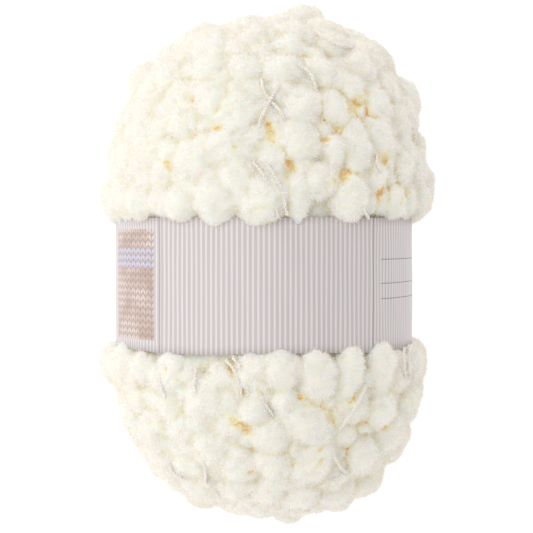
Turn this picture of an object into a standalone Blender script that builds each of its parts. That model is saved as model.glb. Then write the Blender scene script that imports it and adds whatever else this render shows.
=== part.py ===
"""A ball of chunky pompom yarn, lying on its back with a paper band round its waist.

The yarn is a thread with a fluffy pompom every few centimetres, wound in slanting turns into a long ball.
Metres, Z up. Y is the ball's long axis, and Z = 0 is the surface it lies on.
The ball is one solid, a wound core with its outer layer of pompoms, and the paper band is another.
"""

import math

import bmesh
import bpy
import numpy as np
from mathutils import Matrix, Vector

MM = 0.001

# The wound ball, measured over its pompoms but for the few that stand out at its ends
BALL_LENGTH = 241 * MM
BALL_WIDTH = 160 * MM
BALL_FULLNESS = 2.8  # 2 makes an ellipse, more makes fuller shoulders
FLAT_SINK = 5 * MM  # how far its own weight presses the underside flat
UNDERSIDE = -0.72  # lower than this share of its radius, the ball's pompoms are pressed level
BALL_AXIS_HEIGHT = BALL_WIDTH / 2 - FLAT_SINK
CORE_DEPTH = 12.5 * MM  # the wound core lies this far under the outer form
END_BOW = 4 * MM  # both ends lie this far towards +X from the middle

# One pompom: length along the thread, width across it, and height off the core
POMPOM_LENGTH = 21 * MM
POMPOM_WIDTH = 18 * MM
POMPOM_HEIGHT = 18 * MM
POMPOM_SPREAD = 0.14  # sizes differ by up to this share
POMPOM_SINK = 3.5 * MM  # some lie up to this much deeper, behind their neighbours
POMPOM_PITCH = 18.4 * MM  # mean distance between neighbours on the ball
SETTLE_ROUNDS = 90
SETTLE_REACH = 1.25  # pitches within which neighbours push each other
SETTLE_PUSH = 0.12
CLEAR_OF_FACE = 0.62  # pitches that every other pompom keeps from those on the face
SCATTER = 0.3  # pitches that they are moved from an even spiral before they settle
WIND_SLANT = 32  # degrees that the turns of yarn lean from the long axis, one way or the other
WIND_SPREAD = 18
WIND_SEED = 11

# The paper band
BAND_RADIUS = 71.3 * MM
BAND_THICKNESS = 1 * MM
BAND_TOP = 23.2 * MM  # from the middle of the ball, along its axis
BAND_BOTTOM = -38 * MM
BAND_SHIFT = -1.2 * MM  # its axis lies this far along X from the ball's
BAND_HEIGHT = BAND_TOP - BAND_BOTTOM
BAND_MIDDLE = (BAND_TOP + BAND_BOTTOM) / 2
BAND_FOLD_TURN = 47  # degrees round from the front to a fold; the paper has one every quarter turn
BAND_FOLD_RISE = 0.5 * MM
BAND_WAVE = 0.7 * MM  # how far the lower edge wanders
BAND_CLEARANCE = 0.4 * MM
BAND_SIDES = 64
BAND_RINGS = 4
LAP = 1 * MM  # how far the pompoms beside the band swell over its edges
PRESSED_HEIGHT = 9 * MM  # a pompom squeezed under the band

# The pompoms that stand out on the face, in millimetres from the middle of the ball
# across: towards +X, along: towards +Y, lean: degrees from the long axis towards +X
FACE_COLUMNS = ("across", "along", "length", "width", "lean")
FACE_POMPOMS = (
    (18, 117, 17, 16, 20),  # upper end
    (8, 110, 17, 16, 70),
    (-9, 108, 18, 16, 80),
    (-31, 102, 17, 16, 50),
    (-45, 98, 17, 16, 40),
    (-57, 90, 17, 16, 20),
    (29, 100, 17, 15, 70),
    (51, 98, 21, 19, -40),
    (10, 98, 16, 14, 70),
    (-6, 101, 15, 14, 80),
    (41, 91, 17, 16, 0),
    (-42, 86, 17, 16, 30),  # upper shoulder
    (-24, 90, 21, 17, 20),
    (-9, 88, 17, 16, 30),
    (7, 87, 17, 17, 0),
    (25, 86, 21, 14, -63),
    (37, 80, 17, 14, -20),
    (54, 82, 18, 14, 0),
    (65, 80, 20, 16, -15),
    (15, 72, 20, 19, 30),  # upper flank
    (28, 71, 18, 16, -30),
    (-13, 68, 22, 19, 0),
    (-35, 64, 16, 15, 0),
    (-52, 73, 17, 16, 20),
    (59, 67, 21, 14, -15),
    (49, 60, 22, 14, -31),
    (67, 58, 18, 14, 0),
    (38, 54, 25, 15, -5),
    (28, 52, 17, 12, 0),
    (14, 56, 19, 18, 10),
    (3, 48, 18, 13, 0),
    (-54, 51, 24, 17, 0),
    (-68, 55, 20, 15, 0),
    (-31, 48, 21, 19, 30),
    (-12, 40, 22, 18, -20),
    (72, 38, 24, 17, 0),  # along the upper edge of the band
    (60, 46, 20, 13, 0),
    (57, 31, 15, 14, 0),
    (48, 42, 15, 12, 20),
    (36, 32, 21, 16, 0),
    (23, 39, 17, 15, 60),
    (13, 34, 20, 12, 0),
    (-22, 31, 19, 18, 30),
    (-37, 30, 15, 15, 0),
    (-55, 31, 17, 17, 0),
    (-71, 33, 20, 17, 0),
    (-72, -47, 19, 15, 0),  # along the lower edge of the band
    (-54, -46, 16, 15, 0),
    (-41, -47, 19, 13, 0),
    (-6, -45, 15, 15, 0),
    (6, -46, 18, 17, 60),
    (22, -49, 23, 16, 0),
    (36, -48, 25, 13, 5),
    (50, -46, 24, 13, 0),
    (66, -46, 17, 13, 0),
    (-26, -58, 22, 19, 10),  # lower flank
    (-41, -62, 17, 13, 0),
    (-56, -60, 16, 13, 0),
    (-5, -61, 17, 15, 0),
    (7, -58, 14, 14, 0),
    (18, -68, 27, 18, -60),
    (50, -65, 18, 16, 20),
    (66, -62, 22, 13, 0),
    (-48, -74, 20, 20, 60),  # lower shoulder
    (-24, -79, 20, 19, -50),
    (-11, -87, 19, 18, -40),
    (3, -85, 19, 18, -30),
    (41, -85, 21, 17, 0),
    (60, -84, 21, 14, 10),
    (-48, -95, 21, 16, 60),  # lower end
    (-30, -108, 19, 16, 60),
    (-15, -99, 16, 14, 60),
    (0, -100, 15, 13, 70),
    (-15, -112, 17, 14, 80),
    (-2, -110, 17, 14, 80),
    (16, -101, 19, 16, -20),
    (47, -101, 20, 15, 70),
    (34, -110, 18, 15, 60),
    (11, -116, 19, 15, 80),
)

# How fine the ball's solid is
VOXEL = 2.2 * MM
KEEP_SHARE = 0.096  # of the fused skin's faces

PARTS = "pompom_yarn_ball"
CUTTERS = "cutters"


# The form of the ball


def at_depth(points, depth):
    """Moves each point straight from the ball's middle until it lies this depth under the outer form."""
    sides = np.hypot(points[:, 0], points[:, 2]) / (BALL_WIDTH / 2 - depth)
    ends = np.abs(points[:, 1]) / (BALL_LENGTH / 2 - depth)
    size = (sides**BALL_FULLNESS + ends**BALL_FULLNESS) ** (1 / BALL_FULLNESS)
    return points / size[:, None]


def ring_radius(along, depth):
    """The ball's radius at each place along its axis, this depth under the outer form."""
    share = np.minimum(np.abs(along) / (BALL_LENGTH / 2 - depth), 1)
    return (BALL_WIDTH / 2 - depth) * (1 - share**BALL_FULLNESS) ** (1 / BALL_FULLNESS)


def outward(points):
    """The direction straight out of the ball at each point."""
    power = BALL_FULLNESS - 1
    sides = np.maximum(np.hypot(points[:, 0], points[:, 2]), 0.01 * MM)
    steep = (sides / (BALL_WIDTH / 2)) ** power / (BALL_WIDTH / 2) / sides
    ends = (np.abs(points[:, 1]) / (BALL_LENGTH / 2)) ** power / (BALL_LENGTH / 2)
    normals = np.stack([points[:, 0] * steep, np.sign(points[:, 1]) * ends, points[:, 2] * steep], axis=1)
    return normals / np.linalg.norm(normals, axis=1)[:, None]


def bow(along):
    """How far the ball's axis lies towards +X at each place along it."""
    return END_BOW * (np.asarray(along) / (BALL_LENGTH / 2)) ** 2


# The outer layer of pompoms


def face_pompoms():
    """The middles of the pompoms that stand out on the face, on the straight ball, and their other columns."""
    column = {name: np.array(values, float) for name, values in zip(FACE_COLUMNS, zip(*FACE_POMPOMS))}
    along = column["along"] * MM
    across = column["across"] * MM - bow(along)
    radius = np.maximum(ring_radius(along, POMPOM_HEIGHT / 2), np.abs(across))
    towards = np.sqrt(radius**2 - across**2)
    return np.stack([across, along, towards], axis=1), column


def lattice(count):
    """Points in an even spiral over the ball, each turned from the last by the golden angle."""
    step = np.arange(count) + 0.5
    height = 1 - 2 * step / count
    turn = step * math.pi * (3 - math.sqrt(5))
    ring = np.sqrt(1 - height**2)
    points = np.stack([ring * np.cos(turn), height, ring * np.sin(turn)], axis=1)
    return at_depth(points * (BALL_WIDTH, BALL_LENGTH, BALL_WIDTH), POMPOM_HEIGHT / 2)


def clear_of_band(points, held):
    """Free pompoms swell over the band's edges by no more than LAP, and held ones stay under the paper."""
    offset = points[:, 1] - BAND_MIDDLE
    nearest = BAND_HEIGHT / 2 + POMPOM_LENGTH / 2 - LAP
    farthest = BAND_HEIGHT / 2 - POMPOM_LENGTH / 3
    distance = np.where(held, np.minimum(abs(offset), farthest), np.maximum(abs(offset), nearest))
    along = BAND_MIDDLE + np.where(offset < 0, -distance, distance)
    outward_share = ring_radius(along, POMPOM_HEIGHT / 2) / np.hypot(points[:, 0], points[:, 2])
    return np.stack([points[:, 0] * outward_share, along, points[:, 2] * outward_share], axis=1)


def settled(fixed, loose, held):
    """Neighbours push each other apart over the ball until they lie about a pitch from one another."""
    reach = SETTLE_REACH * POMPOM_PITCH
    for _ in range(SETTLE_ROUNDS):
        apart = loose[:, None] - np.concatenate([fixed, loose])[None]
        distance = np.linalg.norm(apart, axis=2)
        near = (distance > 0) & (distance < reach)
        push = np.where(near, (reach - distance) / np.maximum(distance, 0.01 * MM), 0)
        loose = loose + SETTLE_PUSH * (apart * push[:, :, None]).sum(axis=1)
        loose = clear_of_band(at_depth(loose, POMPOM_HEIGHT / 2), held)
    return loose


def pompoms():
    """Every pompom of the outer layer: middle, outward direction, length, width, height and lean."""
    draw = np.random.default_rng(WIND_SEED)
    fixed, face = face_pompoms()
    area = math.pi * BALL_WIDTH * BALL_LENGTH  # a tube of the ball's size, which is within 2% of it
    loose = lattice(round(area / (POMPOM_PITCH**2 * math.sin(math.radians(60)))))
    loose += draw.uniform(-SCATTER, SCATTER, loose.shape) * POMPOM_PITCH
    to_face = np.linalg.norm(loose[:, None] - fixed[None], axis=2).min(axis=1)
    loose = loose[to_face > CLEAR_OF_FACE * POMPOM_PITCH]
    held = np.abs(loose[:, 1] - BAND_MIDDLE) < BAND_HEIGHT / 2
    loose = settled(fixed, loose, held)

    size = 1 + draw.uniform(-POMPOM_SPREAD, POMPOM_SPREAD, len(loose))
    slant = draw.choice((-WIND_SLANT, WIND_SLANT), len(loose))
    slant = slant + draw.uniform(-WIND_SPREAD, WIND_SPREAD, len(loose))
    level = held | (loose[:, 2] < UNDERSIDE * BALL_WIDTH / 2)
    sink = np.where(level, 0, draw.uniform(0, POMPOM_SINK, len(loose)))
    normals = outward(np.concatenate([fixed, loose]))
    loose = loose - normals[len(fixed) :] * sink[:, None]
    squeezed = (BAND_RADIUS - BAND_THICKNESS - PRESSED_HEIGHT / 2) / np.hypot(loose[:, 0], loose[:, 2])
    loose[held] *= np.stack([squeezed, np.ones(len(loose)), squeezed], axis=1)[held]
    loose[held, 0] += BAND_SHIFT

    middles = np.concatenate([fixed, loose])
    middles[:, 0] += bow(middles[:, 1])
    lengths = np.concatenate([face["length"] * MM, POMPOM_LENGTH * size])
    widths = np.concatenate([face["width"] * MM, POMPOM_WIDTH * size])
    heights = np.concatenate([0.5 * (face["width"] * MM + POMPOM_HEIGHT), POMPOM_HEIGHT * size])
    heights[len(fixed) :][held] = PRESSED_HEIGHT
    return middles, normals, lengths, widths, heights, np.concatenate([face["lean"], slant])


def placed(middle, normal, length, width, height, lean):
    """The matrix that takes a ball of radius 1 to one pompom."""
    normal = Vector(normal)
    along = Vector((0, 1, 0)) - normal * normal.y
    if along.length < 1e-3:
        along = Vector((1, 0, 0))
    along = Matrix.Rotation(-math.radians(lean), 3, normal) @ along.normalized()
    across = along.cross(normal)
    turn = Matrix((across, along, normal)).transposed().to_4x4()
    size = Matrix.Diagonal((width / 2, length / 2, height / 2, 1))
    return Matrix.Translation(Vector(middle) + Vector((0, 0, BALL_AXIS_HEIGHT))) @ turn @ size


# Tools for solids


def new_object(name, mesh, collection):
    thing = bpy.data.objects.new(name, mesh)
    bpy.data.collections[collection].objects.link(thing)
    return thing


def applied(thing):
    """Replaces the object's mesh by what its modifiers make of it."""
    graph = bpy.context.evaluated_depsgraph_get()
    mesh = bpy.data.meshes.new_from_object(thing.evaluated_get(graph))
    thing.modifiers.clear()
    thing.data = mesh


def keep_largest_skin(thing):
    """Drops every skin but the one with the most faces, such as the walls of a pocket sealed between pompoms."""
    mesh = bmesh.new()
    mesh.from_mesh(thing.data)
    unseen, skins = set(mesh.verts), []
    while unseen:
        skin, edge = set(), {unseen.pop()}
        while edge:
            skin |= edge
            edge = {e.other_vert(v) for v in edge for e in v.link_edges} - skin
        unseen -= skin
        skins.append(skin)
    largest = max(skins, key=len)
    bmesh.ops.delete(mesh, geom=[v for v in mesh.verts if v not in largest], context="VERTS")
    mesh.to_mesh(thing.data)
    mesh.free()


def material(name, colour, roughness):
    made = bpy.data.materials.new(name)
    made.use_nodes = True
    shader = made.node_tree.nodes["Principled BSDF"]
    shader.inputs["Base Color"].default_value = (*colour, 1)
    shader.inputs["Roughness"].default_value = roughness
    shader.inputs["Metallic"].default_value = 0
    return made


def sleeve(name, inner, outer, low, high, collection, wave=0.0, folds=0.0):
    """A ring about the ball's axis with square edges, from y = low to y = high."""
    mesh = bmesh.new()
    wall_in, wall_out = [], []
    for ring in range(BAND_RINGS + 1):
        share = ring / BAND_RINGS
        rows = ([], [])
        for side in range(BAND_SIDES):
            angle = 2 * math.pi * side / BAND_SIDES
            fold = folds * abs(math.cos(2 * (angle - math.radians(BAND_FOLD_TURN)))) ** 6
            lower = low + wave * math.sin(3 * angle + 0.6) * math.cos(2 * angle)
            y = lower + (high - lower) * share
            for row, radius in zip(rows, (inner, outer)):
                reach = radius + fold
                row.append(
                    mesh.verts.new(
                        (BAND_SHIFT + reach * math.sin(angle), y, BALL_AXIS_HEIGHT + reach * math.cos(angle))
                    )
                )
        wall_in.append(rows[0])
        wall_out.append(rows[1])
    loop = wall_out + wall_in[::-1]
    for here, there in zip(loop, loop[1:] + loop[:1]):
        for side in range(BAND_SIDES):
            after = (side + 1) % BAND_SIDES
            mesh.faces.new((here[side], here[after], there[after], there[side]))
    bmesh.ops.recalc_face_normals(mesh, faces=mesh.faces)
    data = bpy.data.meshes.new(name)
    mesh.to_mesh(data)
    mesh.free()
    return new_object(name, data, collection)


def cutter(thing):
    thing.hide_render = True
    thing.display_type = "WIRE"
    return thing


# The pieces


def core_and_pompoms():
    """One mesh of the wound core and a rounded lump for each pompom."""
    mesh = bmesh.new()
    core = bmesh.ops.create_icosphere(mesh, subdivisions=5, radius=BALL_WIDTH)["verts"]
    bed = at_depth(np.array([vertex.co[:] for vertex in core]) * (1, BALL_LENGTH / BALL_WIDTH, 1), CORE_DEPTH)
    for vertex, place in zip(core, bed):
        vertex.co = Vector(place) + Vector((bow(place[1]), 0, BALL_AXIS_HEIGHT))
    for pompom in zip(*pompoms()):
        bmesh.ops.create_icosphere(mesh, subdivisions=3, radius=1, matrix=placed(*pompom))
    data = bpy.data.meshes.new("yarn_ball")
    mesh.to_mesh(data)
    mesh.free()
    return data


def yarn_ball():
    """The wound ball: fused lumps, hollowed where the band grips it and pressed flat where it lies."""
    ball = new_object("yarn_ball", core_and_pompoms(), PARTS)
    fuse = ball.modifiers.new("Fuse", "REMESH")
    fuse.mode = "VOXEL"
    fuse.voxel_size = VOXEL
    applied(ball)
    keep_largest_skin(ball)
    thin = ball.modifiers.new("Thin out", "DECIMATE")
    thin.ratio = KEEP_SHARE
    applied(ball)

    groove = sleeve(
        "band_groove",
        BAND_RADIUS - BAND_THICKNESS - BAND_CLEARANCE,
        BAND_RADIUS + BAND_FOLD_RISE + BAND_CLEARANCE,
        BAND_BOTTOM - BAND_WAVE - BAND_CLEARANCE,
        BAND_TOP + BAND_CLEARANCE,
        CUTTERS,
    )
    underside = bmesh.new()
    depth = 20 * MM
    bmesh.ops.create_cube(
        underside,
        size=1,
        matrix=Matrix.Translation((0, 0, -depth / 2)) @ Matrix.Diagonal((BALL_LENGTH, 2 * BALL_LENGTH, depth, 1)),
    )
    data = bpy.data.meshes.new("surface_below")
    underside.to_mesh(data)
    underside.free()
    for tool in (groove, new_object("surface_below", data, CUTTERS)):
        cut = ball.modifiers.new(tool.name, "BOOLEAN")
        cut.operation = "DIFFERENCE"
        cut.object = cutter(tool)
    applied(ball)
    keep_largest_skin(ball)
    ball.data.materials.clear()
    ball.data.materials.append(material("cream_pompom_yarn", (0.93, 0.90, 0.80), 0.95))
    ball.data.shade_smooth()


def paper_band():
    """The strip of paper glued into a ring round the waist, creased at every quarter."""
    band = sleeve(
        "paper_band",
        BAND_RADIUS - BAND_THICKNESS,
        BAND_RADIUS,
        BAND_BOTTOM,
        BAND_TOP,
        PARTS,
        wave=BAND_WAVE,
        folds=BAND_FOLD_RISE,
    )
    band.data.materials.append(material("striped_paper", (0.76, 0.72, 0.73), 0.55))
    band.data.shade_smooth()
    band.data.set_sharp_from_angle(angle=math.radians(40))


def main():
    for thing in list(bpy.data.objects):
        bpy.data.objects.remove(thing)
    for name in (PARTS, CUTTERS):
        bpy.context.scene.collection.children.link(bpy.data.collections.new(name))
    bpy.data.collections[CUTTERS].hide_render = True
    yarn_ball()
    paper_band()


main()
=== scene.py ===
# %% [markdown]
# # A ball of pompom yarn with its paper band
#
# The real thing is a thread that carries a fluffy pompom every few centimetres. A winder lays it in slanting
# turns into a long ball, and a strip of striped paper, glued into a ring, holds the turns at the waist.
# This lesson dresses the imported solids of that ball: first the sizes and the places of the pompoms, then one
# soft skin over them, the pile, the thread between pompoms, the paper, and last the studio.

# %% Load the solids
import math

import bmesh
import bpy
import numpy as np
from mathutils import Matrix, Vector


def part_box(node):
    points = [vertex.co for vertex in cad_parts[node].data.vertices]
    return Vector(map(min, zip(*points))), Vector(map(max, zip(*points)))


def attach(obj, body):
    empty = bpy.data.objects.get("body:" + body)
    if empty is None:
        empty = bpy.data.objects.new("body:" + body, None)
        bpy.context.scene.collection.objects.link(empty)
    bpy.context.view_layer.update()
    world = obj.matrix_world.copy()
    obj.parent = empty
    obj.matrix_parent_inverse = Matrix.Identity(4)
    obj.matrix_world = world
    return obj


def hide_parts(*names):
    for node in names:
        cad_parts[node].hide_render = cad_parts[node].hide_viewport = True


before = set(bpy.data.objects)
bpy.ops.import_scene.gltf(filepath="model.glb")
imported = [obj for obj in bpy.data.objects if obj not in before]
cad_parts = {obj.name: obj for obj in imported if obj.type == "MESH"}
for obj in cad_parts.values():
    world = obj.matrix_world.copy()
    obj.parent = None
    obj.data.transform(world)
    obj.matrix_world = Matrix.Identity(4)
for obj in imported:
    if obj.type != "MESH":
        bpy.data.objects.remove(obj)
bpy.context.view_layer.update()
MM = 0.001

# %% [markdown]
# ## Sizes of the ball
#
# The ball lies on its back: Y is its long axis, Z = 0 is the table, and +Z is the face that one looks at.
# Its outer form is a superellipse turned about Y, which has fuller shoulders than an ellipse.
# A few millimetres of the underside are pressed flat. The band's solid is only measured, and its size printed.

# %% The sizes of the ball and of the band's place on it
BALL_LENGTH = 241 * MM
BALL_WIDTH = 160 * MM
BALL_FULLNESS = 2.8  # 2 makes an ellipse, more makes fuller shoulders
FLAT_SINK = 5 * MM  # how far its own weight presses the underside flat
UNDERSIDE = -0.72  # lower than this share of its radius, the ball's pompoms are pressed level
BALL_AXIS_HEIGHT = BALL_WIDTH / 2 - FLAT_SINK
END_BOW = 4 * MM  # both ends lie this far towards +X from the middle
TINY = 0.01 * MM  # keeps a division from meeting zero

BAND_RADIUS = 71.3 * MM
BAND_THICKNESS = 1 * MM
BAND_TOP = 23.2 * MM  # from the middle of the ball, along its axis
BAND_BOTTOM = -38 * MM
BAND_SHIFT = -1.2 * MM  # its axis lies this far along X from the ball's
BAND_HEIGHT = BAND_TOP - BAND_BOTTOM
BAND_MIDDLE = (BAND_TOP + BAND_BOTTOM) / 2
band_low, band_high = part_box("paper_band")
print("band solid in mm:", [round(1000 * v, 1) for v in band_high - band_low])

# %% [markdown]
# ## Where the pompoms lie
#
# The pompoms that stand out on the face are placed from a table. All the others start on an even
# spiral over the ball and then push each other apart, as wound pompoms do. The solid of the ball was made
# from the same rule with the same seed, so skin and solid agree.

# %% The pompoms on the face, in mm from the middle of the ball; lean is in degrees from the long axis
FACE_COLUMNS = ("across", "along", "length", "width", "lean")
FACE_POMPOMS = (
    # upper end
    (18, 117, 17, 16, 20), (8, 110, 17, 16, 70), (-9, 108, 18, 16, 80), (-31, 102, 17, 16, 50),
    (-45, 98, 17, 16, 40), (-57, 90, 17, 16, 20), (29, 100, 17, 15, 70), (51, 98, 21, 19, -40),
    (10, 98, 16, 14, 70), (-6, 101, 15, 14, 80), (41, 91, 17, 16, 0),
    # upper shoulder
    (-42, 86, 17, 16, 30), (-24, 90, 21, 17, 20), (-9, 88, 17, 16, 30), (7, 87, 17, 17, 0),
    (25, 86, 21, 14, -63), (37, 80, 17, 14, -20), (54, 82, 18, 14, 0), (65, 80, 20, 16, -15),
    # upper flank
    (15, 72, 20, 19, 30), (28, 71, 18, 16, -30), (-13, 68, 22, 19, 0), (-35, 64, 16, 15, 0),
    (-52, 73, 17, 16, 20), (59, 67, 21, 14, -15), (49, 60, 22, 14, -31), (67, 58, 18, 14, 0),
    (38, 54, 25, 15, -5), (28, 52, 17, 12, 0), (14, 56, 19, 18, 10), (3, 48, 18, 13, 0),
    (-54, 51, 24, 17, 0), (-68, 55, 20, 15, 0), (-31, 48, 21, 19, 30), (-12, 40, 22, 18, -20),
    # along the upper edge of the band
    (72, 38, 24, 17, 0), (60, 46, 20, 13, 0), (57, 31, 15, 14, 0), (48, 42, 15, 12, 20),
    (36, 32, 21, 16, 0), (23, 39, 17, 15, 60), (13, 34, 20, 12, 0), (-22, 31, 19, 18, 30),
    (-37, 30, 15, 15, 0), (-55, 31, 17, 17, 0), (-71, 33, 20, 17, 0),
    # along the lower edge of the band
    (-72, -47, 19, 15, 0), (-54, -46, 16, 15, 0), (-41, -47, 19, 13, 0), (-6, -45, 15, 15, 0),
    (6, -46, 18, 17, 60), (22, -49, 23, 16, 0), (36, -48, 25, 13, 5), (50, -46, 24, 13, 0),
    (66, -46, 17, 13, 0),
    # lower flank
    (-26, -58, 22, 19, 10), (-41, -62, 17, 13, 0), (-56, -60, 16, 13, 0), (-5, -61, 17, 15, 0),
    (7, -58, 14, 14, 0), (18, -68, 27, 18, -60), (50, -65, 18, 16, 20), (66, -62, 22, 13, 0),
    # lower shoulder
    (-48, -74, 20, 20, 60), (-24, -79, 20, 19, -50), (-11, -87, 19, 18, -40), (3, -85, 19, 18, -30),
    (41, -85, 21, 17, 0), (60, -84, 21, 14, 10),
    # lower end
    (-48, -95, 21, 16, 60), (-30, -108, 19, 16, 60), (-15, -99, 16, 14, 60), (0, -100, 15, 13, 70),
    (-15, -112, 17, 14, 80), (-2, -110, 17, 14, 80), (16, -101, 19, 16, -20), (47, -101, 20, 15, 70),
    (34, -110, 18, 15, 60), (11, -116, 19, 15, 80),
)
print(len(FACE_POMPOMS), "pompoms placed by hand")


# %% The form of the ball
def at_depth(points, depth):
    """Moves each point straight from the ball's middle until it lies this depth under the outer form."""
    sides = np.hypot(points[:, 0], points[:, 2]) / (BALL_WIDTH / 2 - depth)
    ends = np.abs(points[:, 1]) / (BALL_LENGTH / 2 - depth)
    size = (sides**BALL_FULLNESS + ends**BALL_FULLNESS) ** (1 / BALL_FULLNESS)
    return points / size[:, None]


def ring_radius(along, depth):
    """The ball's radius at each place along its axis, this depth under the outer form."""
    share = np.minimum(np.abs(along) / (BALL_LENGTH / 2 - depth), 1)
    return (BALL_WIDTH / 2 - depth) * (1 - share**BALL_FULLNESS) ** (1 / BALL_FULLNESS)


def outward(points):
    """The direction straight out of the ball at each point."""
    power = BALL_FULLNESS - 1
    sides = np.maximum(np.hypot(points[:, 0], points[:, 2]), TINY)
    steep = (sides / (BALL_WIDTH / 2)) ** power / (BALL_WIDTH / 2) / sides
    ends = (np.abs(points[:, 1]) / (BALL_LENGTH / 2)) ** power / (BALL_LENGTH / 2)
    normals = np.stack([points[:, 0] * steep, np.sign(points[:, 1]) * ends, points[:, 2] * steep], axis=1)
    return normals / np.linalg.norm(normals, axis=1)[:, None]


def bow(along):
    """How far the ball's axis lies towards +X at each place along it."""
    return END_BOW * (np.asarray(along) / (BALL_LENGTH / 2)) ** 2


print("free radius where the band will lie, in mm:", round(1000 * float(ring_radius(BAND_MIDDLE, 0)), 1))

# %% Places on the face and in an even spiral
POMPOM_LENGTH = 21 * MM
POMPOM_WIDTH = 18 * MM
POMPOM_HEIGHT = 18 * MM


def face_pompoms():
    """The middles of the face's pompoms, on the straight ball, and their other columns."""
    column = {name: np.array(values, float) for name, values in zip(FACE_COLUMNS, zip(*FACE_POMPOMS))}
    along = column["along"] * MM
    across = column["across"] * MM - bow(along)
    radius = np.maximum(ring_radius(along, POMPOM_HEIGHT / 2), np.abs(across))
    towards = np.sqrt(radius**2 - across**2)
    return np.stack([across, along, towards], axis=1), column


def lattice(count):
    """Points in an even spiral over the ball, each turned from the last by the golden angle."""
    step = np.arange(count) + 0.5
    height = 1 - 2 * step / count
    turn = step * math.pi * (3 - math.sqrt(5))
    ring = np.sqrt(1 - height**2)
    points = np.stack([ring * np.cos(turn), height, ring * np.sin(turn)], axis=1)
    return at_depth(points * (BALL_WIDTH, BALL_LENGTH, BALL_WIDTH), POMPOM_HEIGHT / 2)


highest = face_pompoms()[0][:, 2].max()
print("highest middle of the face's pompoms over the axis, in mm:", round(1000 * highest, 1))

# %% Let neighbours push each other apart
LAP = 1 * MM  # how far the pompoms beside the band swell over its edges
POMPOM_PITCH = 18.4 * MM  # mean distance between neighbours on the ball
SETTLE_ROUNDS = 90
SETTLE_REACH = 1.25  # pitches within which neighbours push each other
SETTLE_PUSH = 0.12


def clear_of_band(points, held):
    """Free pompoms swell over the band's edges by no more than LAP, and held ones stay under the paper."""
    offset = points[:, 1] - BAND_MIDDLE
    nearest = BAND_HEIGHT / 2 + POMPOM_LENGTH / 2 - LAP
    farthest = BAND_HEIGHT / 2 - POMPOM_LENGTH / 3
    distance = np.where(held, np.minimum(abs(offset), farthest), np.maximum(abs(offset), nearest))
    along = BAND_MIDDLE + np.where(offset < 0, -distance, distance)
    outward_share = ring_radius(along, POMPOM_HEIGHT / 2) / np.hypot(points[:, 0], points[:, 2])
    return np.stack([points[:, 0] * outward_share, along, points[:, 2] * outward_share], axis=1)


def settled(fixed, loose, held):
    """Neighbours push each other apart over the ball until they lie about a pitch from one another."""
    reach = SETTLE_REACH * POMPOM_PITCH
    for _ in range(SETTLE_ROUNDS):
        apart = loose[:, None] - np.concatenate([fixed, loose])[None]
        distance = np.linalg.norm(apart, axis=2)
        near = (distance > 0) & (distance < reach)
        push = np.where(near, (reach - distance) / np.maximum(distance, TINY), 0)
        loose = loose + SETTLE_PUSH * (apart * push[:, :, None]).sum(axis=1)
        loose = clear_of_band(at_depth(loose, POMPOM_HEIGHT / 2), held)
    return loose


print("neighbours push each other within", round(1000 * SETTLE_REACH * POMPOM_PITCH, 1), "mm")

# %% Lay out the outer layer
POMPOM_SPREAD = 0.14  # sizes differ by up to this share
POMPOM_SINK = 3.5 * MM  # some lie up to this much deeper, behind their neighbours
PRESSED_HEIGHT = 9 * MM  # a pompom squeezed under the band
CLEAR_OF_FACE = 0.62  # pitches that every other pompom keeps from those on the face
SCATTER = 0.3  # pitches that they are moved from an even spiral before they settle
WIND_SLANT = 32  # degrees that the turns of yarn lean from the long axis, one way or the other
WIND_SPREAD = 18
WIND_SEED = 11


def pompoms():
    """Every pompom of the outer layer: middle, outward direction, length, width, height and lean."""
    draw = np.random.default_rng(WIND_SEED)
    fixed, face = face_pompoms()
    area = math.pi * BALL_WIDTH * BALL_LENGTH
    loose = lattice(round(area / (POMPOM_PITCH**2 * math.sin(math.radians(60)))))  # packed in threes
    loose += draw.uniform(-SCATTER, SCATTER, loose.shape) * POMPOM_PITCH
    to_face = np.linalg.norm(loose[:, None] - fixed[None], axis=2).min(axis=1)
    loose = loose[to_face > CLEAR_OF_FACE * POMPOM_PITCH]
    held = np.abs(loose[:, 1] - BAND_MIDDLE) < BAND_HEIGHT / 2
    loose = settled(fixed, loose, held)

    size = 1 + draw.uniform(-POMPOM_SPREAD, POMPOM_SPREAD, len(loose))
    slant = draw.choice((-WIND_SLANT, WIND_SLANT), len(loose))
    slant = slant + draw.uniform(-WIND_SPREAD, WIND_SPREAD, len(loose))
    level = held | (loose[:, 2] < UNDERSIDE * BALL_WIDTH / 2)
    sink = np.where(level, 0, draw.uniform(0, POMPOM_SINK, len(loose)))
    normals = outward(np.concatenate([fixed, loose]))
    loose = loose - normals[len(fixed) :] * sink[:, None]
    squeezed = (BAND_RADIUS - BAND_THICKNESS - PRESSED_HEIGHT / 2) / np.hypot(loose[:, 0], loose[:, 2])
    loose[held] *= np.stack([squeezed, np.ones(len(loose)), squeezed], axis=1)[held]
    loose[held, 0] += BAND_SHIFT

    middles = np.concatenate([fixed, loose])
    middles[:, 0] += bow(middles[:, 1])
    lengths = np.concatenate([face["length"] * MM, POMPOM_LENGTH * size])
    widths = np.concatenate([face["width"] * MM, POMPOM_WIDTH * size])
    heights = np.concatenate([0.5 * (face["width"] * MM + POMPOM_HEIGHT), POMPOM_HEIGHT * size])
    heights[len(fixed) :][held] = PRESSED_HEIGHT
    return middles, normals, lengths, widths, heights, np.concatenate([face["lean"], slant])


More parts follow.
